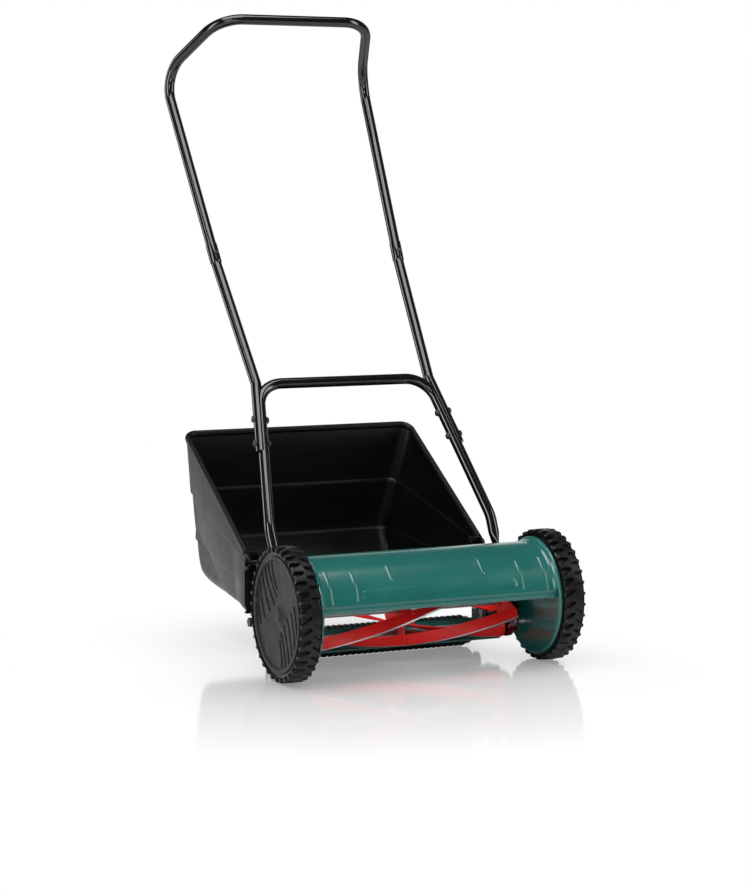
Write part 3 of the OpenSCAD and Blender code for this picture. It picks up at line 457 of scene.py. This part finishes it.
def cover_profile():
    """Cover section from the rear edge over the top and down the lip: (Y, Z, outward Y, outward Z)."""
    rows = []
    for i in range(COVER_FRONT + COVER_BACK - 1):
        a = math.radians(-COVER_BACK + i)
        rows.append((-COVER_R * math.sin(a), AXLE_Z + COVER_R * math.cos(a), -math.sin(a), math.cos(a)))
    edge = math.radians(COVER_FRONT)
    y, z = -COVER_R * math.sin(edge), AXLE_Z + COVER_R * math.cos(edge)
    for back, down, lean in COVER_CREASE:
        a = math.radians(lean)
        rows.append((y + back, z - down, -math.sin(a), math.cos(a)))
    for k in range(9):
        a = math.radians(-80 + 20 * k)
        bulge_y, bulge_z = y + 0.45 - LIP_BULGE * math.cos(a), z - LIP / 2 - 0.5 - LIP_BULGE * math.sin(a)
        rows.append((bulge_y, bulge_z, -math.cos(a), -math.sin(a)))
    for back, down, lean in LIP_HEM:
        a = math.radians(lean)
        rows.append((y + back, z - down, -math.sin(a), math.cos(a)))
    return rows


def ridge(distance, half):
    return 1 - smooth_step(0, half, abs(distance))


def cover_emboss(x, z):
    """Height of the pressed-in shapes above the plain cover, at a height z on its front."""
    wide = abs(x)
    lift = 0.9 * ridge(wide - 187, 2.0) * smooth_step(128, 131, z) * (1 - smooth_step(176, 180, z))
    lift += 0.9 * ridge(wide - 144, 2.0) * smooth_step(131, 134, z) * (1 - smooth_step(172, 176, z))
    lift += 0.5 * ridge(wide - 80, 2.5) * smooth_step(158, 162, z) * (1 - smooth_step(180, 184, z))
    pad_x = max(0.0, wide - 127.5)
    pad = math.hypot(pad_x, z - 142.5)
    return lift + 0.8 * (1 - smooth_step(5.4, 7.4, pad))


def cover_shell():
    profile = cover_profile()
    count = round(2 * COVER_HALF)
    columns = [-COVER_HALF + 2 * COVER_HALF * i / count for i in range(count + 1)]
    points = []
    for y, z, ny, nz in profile:
        for x in columns:
            lift = cover_emboss(x, z) if y < 0 else 0
            points.append(place(x, y + ny * lift, z + nz * lift))
    obj = add_mesh("cover_shell", points, grid_faces(len(profile), len(columns)), 60)
    return obj


def side_disc(name, side):
    origin = place(side * PLATE_IN, 0, AXLE_Z)
    plate = lathe(name + "_plate", origin, (side, 0, 0), [
        (8, 0), (90.5, 0), (92.0, -0.5), (93.6, -0.7), (95.0, 0.1), (95.6, 1.2), (95.6, 3.8), (95.0, 4.5),
        (93.4, 4.5), (92.6, 4.0), (92.6, 3), (8, 3),
    ], 160, closed=True)
    start = -COVER_BACK if side > 0 else -COVER_FRONT
    fillet = lathe(name + "_fillet", origin, (side, 0, 0), [
        (COVER_R - 1.2, 1), (COVER_R - 0.8, -7.5), (COVER_R + 0.1, -6.8), (COVER_R + 0.9, -4.2),
        (COVER_R + 2.4, -2.2), (COVER_R + 4.6, -0.9), (COVER_R + 5.6, 0.6), (COVER_R + 5.6, 1),
    ], 96, closed=True, start=start, span=COVER_FRONT + COVER_BACK)
    return joined(name, [plate, fillet])


def build_chassis():
    cover = cover_shell()
    thicken(cover, -COVER_WALL)
    finished(cover, "root", "green_paint", "top_cover")
    for word, side in SIDES.items():
        finished(side_disc("side_disc_" + word, side), "root", "green_paint", "side_plate_" + word)


# --- Cutting reel ---

REEL_Y, REEL_Z, REEL_R = 71.51, 87.97, 60
BLADE_INNER_R, BLADE_HALF, BLADE_T = 43, 188.5, 3
BLADE_LEAN, BLADE_WIND, BLADE_PHASE = 10, 126, 80


def reel_place(x, radius, angle):
    a = math.radians(angle)
    return place(x, REEL_Y - radius * math.sin(a), REEL_Z - radius * math.cos(a))


def reel_blade(index):
    steps, count = 110, 8
    points = []
    for i in range(steps + 1):
        x = -BLADE_HALF + 2 * BLADE_HALF * i / steps
        lead = BLADE_PHASE + 72 * (index - 1) + BLADE_WIND * x / (2 * BLADE_HALF)
        thick_out, thick_in = math.degrees(BLADE_T / REEL_R), math.degrees(BLADE_T / BLADE_INNER_R)
        for r, a in (
            (REEL_R, 0), (REEL_R - 0.3, 0), (BLADE_INNER_R + 0.6, BLADE_LEAN),
            (BLADE_INNER_R, BLADE_LEAN + 0.8),
            (BLADE_INNER_R, BLADE_LEAN + thick_in - 0.8), (BLADE_INNER_R + 0.6, BLADE_LEAN + thick_in),
            (REEL_R - 0.5, thick_out), (REEL_R - 0.1, thick_out - 0.4),
        ):
            points.append(reel_place(x, r, lead + a))
    faces = grid_faces(steps + 1, count, 0, False, True)
    faces += [list(range(count)), list(range(steps * count, (steps + 1) * count))]
    obj = add_mesh(f"reel_blade_{index}", points, faces, 30)
    finished(obj, "reel", "red_paint", f"blade_{index}")
    obj.data.materials.append(FINISHES["ground_steel"])
    for polygon in obj.data.polygons:
        middle = polygon.center - place(polygon.center.x / MM, REEL_Y, REEL_Z)
        if middle.length > (REEL_R - 0.35) * MM:
            polygon.material_index = 1
    return obj


def build_reel():
    for index in range(1, 6):
        reel_blade(index)


# --- Rear roller ---

ROLLER_Y, ROLLER_R, ROLLER_HALF = 165, 26, 175
# Half of a rib's outline: its radius and its distance from the rib's middle
ROLLER_RIB = ((23.5, 2.6), (25.4, 2.1), (ROLLER_R, 1.4))
RIB_PITCH, RIBS = 10.5, 31


def build_roller():
    profile = [(6, -ROLLER_HALF), (16, -ROLLER_HALF), (20.5, -ROLLER_HALF + 1.5), (23, -ROLLER_HALF + 4.5)]
    for i in range(RIBS):
        x = (i - RIBS // 2) * RIB_PITCH
        profile += [(r, x - half) for r, half in ROLLER_RIB]
        profile += [(r, x + half) for r, half in reversed(ROLLER_RIB)]
    profile += [(23, ROLLER_HALF - 4.5), (20.5, ROLLER_HALF - 1.5), (16, ROLLER_HALF), (6, ROLLER_HALF)]
    obj = lathe("ribbed_roller", place(0, ROLLER_Y, ROLLER_R), (1, 0, 0), profile, 96, closed=True)
    finished(obj, "roller", "moulded_black", "roller")


# --- Handle ---

TUBE_R = 9
PIVOT = (197.3, 104, 160)
LEG_FOOT, LEG_BEND = (197.3, 110.5, 173), (199.5, 135.5, 222)
CROSS_CORNER = (154.8, 289.1, 443.5)
JOINT, SHOULDER, GRIP_CORNER = (171.4, 433, 637.3), (191, 633.9, 967), (138.7, 493.6, 1056.7)
SADDLE, SADDLE_SHIFT = 131, 4.5
SOCKET_R, SOCKET_TOP = 10, 40


def mirrored(point, side):
    return place(side * point[0], point[1], point[2])


def toward(a, b):
    return (b - a).normalized()


def tongue_size(distance):
    """Half thickness and half width of the leg tube, flattened round its pivot."""
    flat_wide = math.sqrt(max(0.0, 10.5**2 - max(0.0, 10.5 - distance) ** 2)) + 0.01
    t = smooth_step(24, 52, distance)
    return 3 + (TUBE_R - 3) * t, flat_wide + (TUBE_R - 10.5) * t


def dense(path, step):
    """The same path with points at most a step apart."""
    result = [path[0]]
    for a, b in zip(path, path[1:]):
        count = max(1, math.ceil((b - a).length / (step * MM)))
        result += [a.lerp(b, k / count) for k in range(1, count + 1)]
    return result


def lower_handle():
    halves = []
    for side in (-1, 1):
        pivot, foot = mirrored(PIVOT, side), mirrored(LEG_FOOT, side)
        end = pivot - toward(pivot, foot) * 10.5 * MM
        corner = mirrored(CROSS_CORNER, side)
        middle = Vector((0, corner.y, corner.z))
        path = rounded_path([end, mirrored(LEG_BEND, side), corner, middle], [90, 48])
        path = dense(path[:2], 1.5) + path[2:]
        halves.append(sweep("leg", path, tongue_size, 36, Vector((side, 0, 0))))
    return joined("bent_leg_tube", halves)


def leg_frame(side):
    corner, bend = mirrored(CROSS_CORNER, side), mirrored(LEG_BEND, side)
    along = toward(bend, corner)
    out = Vector((side, 0, 0))
    return corner, along, (out - along * out.dot(along)).normalized()


def side_tube(name, side):
    corner, along, out = leg_frame(side)
    joint, shoulder = mirrored(JOINT, side), mirrored(SHOULDER, side)
    up = toward(joint, shoulder)
    bend = corner + out * SADDLE_SHIFT * MM
    path = rounded_path([bend - along * SADDLE * MM, bend, joint, joint + up * 4 * MM], [15, 60])
    tube = sweep(name + "_tube", path, TUBE_R, 36)
    socket = lathe(name + "_socket", joint, up, [
        (8.8, 2.5), (9.05, 2.5), (9.6, 4.0), (SOCKET_R, 6), (SOCKET_R, SOCKET_TOP - 0.6),
        (SOCKET_R - 0.6, SOCKET_TOP), (9.1, SOCKET_TOP), (8.8, SOCKET_TOP - 1),
    ], 48, closed=True)
    return joined(name, [tube, socket])


def upper_handle():
    points = []
    for side in (-1, 1):
        joint, shoulder = mirrored(JOINT, side), mirrored(SHOULDER, side)
        run = [joint + toward(joint, shoulder) * 6 * MM, shoulder, mirrored(GRIP_CORNER, side)]
        points += run if side < 0 else reversed(run)
    return sweep("bent_grip_tube", rounded_path(points, [55, 60, 60, 55]), TUBE_R - 0.02, 36)


def domed(name, origin, axis, radius, height):
    return lathe(name, origin, axis, [
        (0, height), (radius * 0.4, height * 0.96), (radius * 0.75, height * 0.78),
        (radius * 0.95, height * 0.42), (radius, 0), (radius, -1), (0, -1),
    ], 32)


def handle_fasteners():
    heads, screws = [], []
    for side in (-1, 1):
        corner, along, out = leg_frame(side)
        for s in (69, 115):
            p = corner - along * s * MM
            heads.append(domed("head", p + out * 13.2 * MM, out, 6.2, 3.8))
            heads.append(domed("nut", p - out * 8.8 * MM, -out, 6.0, 4.6))
        joint, shoulder = mirrored(JOINT, side), mirrored(SHOULDER, side)
        up = toward(joint, shoulder)
        front = Vector((1, 0, 0)).cross(up).normalized()
        screws.append(domed("screw", joint + up * 20 * MM + front * 9.9 * MM, front, 4, 2.6))
    return joined("handle_bolt_domes", heads), joined("joint_screw_domes", screws)


def build_handle():
    finished(lower_handle(), "handle", "black_paint", "lower_handle")
    for word, side in SIDES.items():
        finished(side_tube("saddle_tube_" + word, side), "handle", "black_paint", "side_tube_" + word)
    finished(upper_handle(), "handle", "black_paint", "upper_handle")
    heads, screws = handle_fasteners()
    finished(heads, "handle", "black_fastener", "handle_bolts")
    finished(screws, "handle", "black_fastener", "joint_screws")


# --- Grass box ---

BOX_HALF, BOX_WALL = 214, 2.5
BOX_FLOOR = [
    (204, 75), (252, 79), (310, 82.5), (367, 85), (410, 86.5), (455, 89.5), (485, 95), (500, 103),
    (514, 121), (522, 145), (525, 166), (505, 254), (485, 323), (482, 346),
]
BOX_TOP_FRONT = (204, 175)
BOX_CORNER = 18
BOX_TAPER, TAPER_DEPTH, TAPER_RUN = 0.155, 172, 300
STEP = 3.2
RIM_BEAD = 5.5
BOX_LINES = (((505, 246), (278, 184)), ((525, 160), (262, 128)))
PIN_Y, PIN_Z = 197, 160


def resampled(line, step):
    result = [Vector(line[0])]
    for a, b in zip(line, line[1:]):
        a, b = Vector(a), Vector(b)
        count = max(1, math.ceil((b - a).length / step))
        result += [a.lerp(b, k / count) for k in range(1, count + 1)]
    return result


def line_height(line, y):
    (y0, z0), (y1, z1) = line
    return z0 + (y - y0) * (z1 - z0) / (y1 - y0)


def box_steps(y, z):
    """How far the walls stand in at a place, in steps down from the rim."""
    total = 0.0
    for line in BOX_LINES:
        height = line_height(line, min(y, line[0][0]))
        total += 1 - smooth_step(height - 1.6, height + 1.6, z)
    return STEP * total * smooth_step(215, 275, y)


def rim_height(y):
    return line_height((BOX_FLOOR[-1], BOX_TOP_FRONT), min(y, BOX_FLOOR[-1][0]))


def box_half(y, z):
    """Half width of the tub at a place on its side wall."""
    below = min(TAPER_DEPTH, max(0.0, rim_height(y) - z))
    lean = BOX_TAPER * below * min(1.0, max(0.0, (y - BOX_TOP_FRONT[0]) / TAPER_RUN))
    return BOX_HALF - lean - box_steps(y, z)


def under_rim(q):
    return Vector((max(q.x, BOX_TOP_FRONT[0]), min(q.y, rim_height(q.x))))


def smoothed(line, rounds=2):
    """The line with its corners cut, ends kept."""
    for _ in range(rounds):
        result = [Vector(line[0])]
        for a, b in zip(line, line[1:]):
            a, b = Vector(a), Vector(b)
            result += [a.lerp(b, 0.25), a.lerp(b, 0.75)]
        line = result + [Vector(line[-1])]
    return line


def box_walls():
    profile = resampled(smoothed(BOX_FLOOR), 2.2)
    count = len(profile)
    normals = []
    for i in range(count):
        d = profile[min(count - 1, i + 3)] - profile[max(0, i - 3)]
        normals.append(Vector((-d.y, d.x)).normalized())
    points = []
    for p, n in zip(profile, normals):
        inner = under_rim(p + n * BOX_CORNER)
        sunk = box_steps(inner.x, inner.y) * smooth_step(0.5, 0.9, abs(n.x))
        half = box_half(inner.x, inner.y)
        arc = []
        for k in range(7):
            a = math.radians(15 * k)
            q = under_rim(p + n * (BOX_CORNER * (1 - math.cos(a)) + sunk * math.cos(a)))
            arc.append((half - BOX_CORNER * (1 - math.sin(a)), q.x, q.y))
        points += [place(-x, y, z) for x, y, z in reversed(arc)] + [place(*q) for q in arc]
    back = add_mesh("box_back", points, grid_faces(count, 14), 60)
    low = [under_rim(p + n * BOX_CORNER) for p, n in zip(profile, normals)]
    return [back, *[box_side("box_side", side, low) for side in (-1, 1)]]


def box_side(name, side, low):
    """A side wall: lines from the curve at its foot to the rim."""
    rows = 90
    points = []
    for i, p in enumerate(low):
        top = Vector(BOX_TOP_FRONT).lerp(low[-1], i / (len(low) - 1))
        for k in range(rows + 1):
            q = p.lerp(top, k / rows)
            points.append(place(side * box_half(q.x, q.y), q.x, q.y))
    return add_mesh(name, points, grid_faces(len(low), rows + 1), 60)


def box_rim():
    x = BOX_HALF - 1
    back, front = BOX_FLOOR[-1], BOX_TOP_FRONT
    points = [place(-x, *front), place(-x, *back), place(x, *back), place(x, *front)]
    return sweep("box_rim", rounded_path(points, [BOX_CORNER, BOX_CORNER], 2), RIM_BEAD, 24)


def box_fittings(side):
    flange_low = (BOX_HALF - 20, 203.8, 76) if side > 0 else (-BOX_HALF, 203.8, 76)
    flange_high = (BOX_HALF, 206.6, 173) if side > 0 else (-BOX_HALF + 20, 206.6, 173)
    shelf_low = (BOX_HALF - 21, 200.5, 169) if side > 0 else (-BOX_HALF - 1, 200.5, 169)
    shelf_high = (BOX_HALF + 1, 211, 178.5) if side > 0 else (-BOX_HALF + 21, 211, 178.5)
    foot_low = (BOX_HALF - 20, 203.8, 75) if side > 0 else (-BOX_HALF, 203.8, 75)
    foot_high = (BOX_HALF, 212, 78) if side > 0 else (-BOX_HALF + 20, 212, 78)
    hook = hook_plate(side)
    return [
        block("flange", flange_low, flange_high, 1.0), block("shelf", shelf_low, shelf_high, 2.0),
        block("foot", foot_low, foot_high, 0.8), hook,
    ]


def hook_plate(side):
    away = Vector((-math.cos(math.radians(30)), -math.sin(math.radians(30))))
    aside = Vector((-away.y, away.x)) * 4.3
    pin = Vector((PIN_Y, PIN_Z))
    slot = [pin + aside + away * 14, pin + aside]
    for k in range(1, 12):
        a = math.radians(180 * k / 12)
        slot.append(pin + aside * math.cos(a) - away * 4.3 * math.sin(a))
    slot += [pin - aside, pin - aside + away * 12.2]
    outline = [
        (212, 142), (206, 144), (198, 147), tuple(slot[-1]), *[tuple(p) for p in reversed(slot[1:-1])],
        tuple(slot[0] - away * 2), (186, 164), (191, 173), (201, 177), (214, 178),
    ]
    x = BOX_HALF - 2 if side > 0 else -BOX_HALF - 3
    return extruded("hook", outline, x, 5, 0.6)


def build_box():
    walls = box_walls()
    for wall in walls:
        thicken(wall, BOX_WALL)
    parts = [*walls, box_rim()]
    for side in (-1, 1):
        parts += box_fittings(side)
    finished(joined("grass_tub", parts), "box", "box_plastic", "grass_box")


# --- CAD nodes that are shown as they are ---

NODE_SLOTS = {
    "cover_screws": "zinc_steel", "tie_rod": "black_paint", "tie_rod_nuts": "zinc_steel",
    "knife_carrier": "green_paint", "bed_knife": "ground_steel", "knife_screws": "black_fastener",
    "carrier_bolts": "zinc_steel", "knife_adjusters": "zinc_steel", "rear_bracket_left": "black_paint",
    "rear_bracket_right": "black_paint", "bracket_rivets": "zinc_steel", "wheel_axle_left": "zinc_steel",
    "wheel_axle_right": "zinc_steel", "axle_clips": "zinc_steel", "reel_bearing_left": "bearing_bronze",
    "reel_bearing_right": "bearing_bronze", "handle_pivots": "black_fastener", "box_pins": "black_fastener",
    "wheel_left": "moulded_black", "wheel_right": "moulded_black", "wheel_bush_left": "bearing_bronze",
    "wheel_bush_right": "bearing_bronze", "reel_shaft": "zinc_steel", "spider_left": "red_paint",
    "spider_middle": "red_paint", "spider_right": "red_paint", "pinion_left": "zinc_steel",
    "pinion_right": "zinc_steel", "ratchet_key_left": "zinc_steel", "ratchet_key_right": "zinc_steel",
    "pinion_clips": "zinc_steel", "roller_bracket_left": "black_paint",
    "roller_bracket_right": "black_paint",
    "roller_axle": "zinc_steel", "clamp_studs": "zinc_steel", "height_knob_left": "moulded_black",
    "height_knob_right": "moulded_black", "roller_bushes": "bearing_bronze",
}


def dress_nodes():
    for name, slot_name in NODE_SLOTS.items():
        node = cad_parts[name]
        node.data.materials.clear()
        node.data.materials.append(FINISHES[slot_name])


# --- Studio ---


AHEAD = (0.4176, 0.9031, -0.1010)
CAMERA_SPOT, CAMERA_ROLL = (-1.6918, -3.7589, 0.7582), 0.125
ROOM_LIGHT = 0.10


def along_view(tree, places):
    """How far a direction points away from the viewer, from a coordinate output."""
    node = tree.nodes.new("ShaderNodeVectorMath")
    node.operation = "DOT_PRODUCT"
    node.inputs[1].default_value = (AHEAD[0], AHEAD[1], 0)
    tree.links.new(places, node.inputs[0])
    return node.outputs["Value"]


def floor_shade(tree):
    """White, with a soft shade close under the mower."""
    near = tree.nodes.new("ShaderNodeAmbientOcclusion")
    near.samples = 8
    near.inputs["Distance"].default_value = 0.22
    return ranged(tree, near.outputs["AO"], 0.15, 0.95, 0.42, 1.0)


def floor():
    """A white floor that shows a soft reflection, fading out away from the mower."""
    corners = [(-30, -30, 0), (30, -30, 0), (30, 30, 0), (-30, 30, 0)]
    obj = add_mesh("studio_floor", corners, [[0, 1, 2, 3]])
    material, tree, surface = shader("studio_floor")
    surface.inputs["Base Color"].default_value = (0.8, 0.8, 0.8, 1)
    surface.inputs["Roughness"].default_value = 0.6
    places = tree.nodes.new("ShaderNodeTexCoord")
    white, mirror = tree.nodes.new("ShaderNodeEmission"), tree.nodes.new("ShaderNodeBsdfGlossy")
    tree.links.new(ranged(tree, noise(tree, 2, 2), 0.3, 0.7, 0.07, 0.10), mirror.inputs["Roughness"])
    mirror.inputs["Color"].default_value = (1, 1, 1, 1)
    away = tree.nodes.new("ShaderNodeVectorMath")
    away.operation = "LENGTH"
    tree.links.new(places.outputs["Object"], away.inputs[0])
    fade = ranged(tree, away.outputs["Value"], 0.32, 0.85, 0.42, 0.0)
    tree.links.new(floor_shade(tree), white.inputs["Strength"])
    seen, whole = tree.nodes.new("ShaderNodeMixShader"), tree.nodes.new("ShaderNodeMixShader")
    tree.links.new(fade, seen.inputs[0])
    tree.links.new(white.outputs[0], seen.inputs[1])
    tree.links.new(mirror.outputs[0], seen.inputs[2])
    rays = tree.nodes.new("ShaderNodeLightPath")
    tree.links.new(rays.outputs["Is Camera Ray"], whole.inputs[0])
    tree.links.new(surface.outputs[0], whole.inputs[1])
    tree.links.new(seen.outputs[0], whole.inputs[2])
    output = next(n for n in tree.nodes if n.bl_idname == "ShaderNodeOutputMaterial")
    tree.links.new(whole.outputs[0], output.inputs[0])
    obj.data.materials.append(material)
    obj.location.z = -0.0005


def backdrop_share(tree):
    """1 in the low band of sky straight ahead of the viewer, where a white backdrop stands."""
    places = tree.nodes.new("ShaderNodeTexCoord")
    split = tree.nodes.new("ShaderNodeSeparateXYZ")
    tree.links.new(places.outputs["Generated"], split.inputs[0])
    low = ranged(tree, split.outputs["Z"], 0.30, 0.42, 1, 0)
    straight = ranged(tree, along_view(tree, places.outputs["Generated"]), 0.70, 0.86, 0, 1)
    both = tree.nodes.new("ShaderNodeMath")
    both.operation = "MULTIPLY"
    tree.links.new(low, both.inputs[0])
    tree.links.new(straight, both.inputs[1])
    return both.outputs[0]


def studio_world():
    world = bpy.data.worlds.new("studio")
    bpy.context.scene.world = world
    world.use_nodes = True
    tree = world.node_tree
    tree.nodes.clear()
    output = tree.nodes.new("ShaderNodeOutputWorld")
    plain, seen = tree.nodes.new("ShaderNodeBackground"), tree.nodes.new("ShaderNodeBackground")
    plain.inputs[0].default_value, plain.inputs[1].default_value = (0.93, 0.96, 1.0, 1), ROOM_LIGHT
    seen.inputs[0].default_value, seen.inputs[1].default_value = (1, 1, 1, 1), 1.0
    rays, mix = tree.nodes.new("ShaderNodeLightPath"), tree.nodes.new("ShaderNodeMixShader")
    share = tree.nodes.new("ShaderNodeMath")
    share.operation = "MAXIMUM"
    tree.links.new(rays.outputs["Is Camera Ray"], share.inputs[0])
    tree.links.new(backdrop_share(tree), share.inputs[1])
    tree.links.new(share.outputs[0], mix.inputs[0])
    tree.links.new(plain.outputs[0], mix.inputs[1])
    tree.links.new(seen.outputs[0], mix.inputs[2])
    tree.links.new(mix.outputs[0], output.inputs[0])


def softbox(name, spot, target, wide, high, power):
    light = bpy.data.lights.new(name, "AREA")
    light.shape = "RECTANGLE"
    light.size, light.size_y, light.energy = wide, high, power
    obj = bpy.data.objects.new(name, light)
    obj.location = spot
    obj.rotation_mode = "QUATERNION"
    obj.rotation_quaternion = (Vector(target) - Vector(spot)).to_track_quat("-Z", "Y")
    bpy.context.scene.collection.objects.link(obj)


def studio_lights():
    softbox("softbox_left", (-3.2, -0.6, 1.5), (0, 0, 0.5), 0.9, 2.6, 62)
    softbox("softbox_right", (2.6, -1.8, 1.6), (0, 0, 0.5), 0.9, 2.6, 46)
    softbox("softbox_top", (-0.3, -0.6, 3.4), (0, 0, 0.2), 2.6, 2.2, 100)
    softbox("softbox_front", (-2.2, -3.9, 2.4), (0, -0.1, 0.2), 1.6, 1.2, 30)
    softbox("softbox_low", (-0.9, -3.0, 0.55), (0, -0.25, 0.05), 2.0, 0.7, 15)
    softbox("softbox_rear", (-1.9, 2.0, 0.9), (-0.2, 0, 0.2), 0.7, 1.4, 14)


def camera():
    data = bpy.data.cameras.new("view")
    obj = bpy.data.objects.new("view", data)
    bpy.context.scene.collection.objects.link(obj)
    ahead = Vector(AHEAD).normalized()
    right = ahead.cross(Vector((0, 0, 1))).normalized()
    up = right.cross(ahead)
    roll = Matrix.Rotation(math.radians(CAMERA_ROLL), 3, ahead)
    right, up = roll @ right, roll @ up
    basis = Matrix((right, up, -ahead)).transposed().to_4x4()
    obj.matrix_world = Matrix.Translation(CAMERA_SPOT) @ basis
    data.sensor_width = 36
    data.lens = 99.77
    data.shift_x, data.shift_y = -0.0017, -0.0013
    bpy.context.scene.camera = obj


build_wheels()
build_chassis()
build_reel()
build_roller()
build_handle()
build_box()
dress_nodes()
floor()
studio_world()
studio_lights()
camera()
bpy.context.scene.view_settings.view_transform = "Standard"
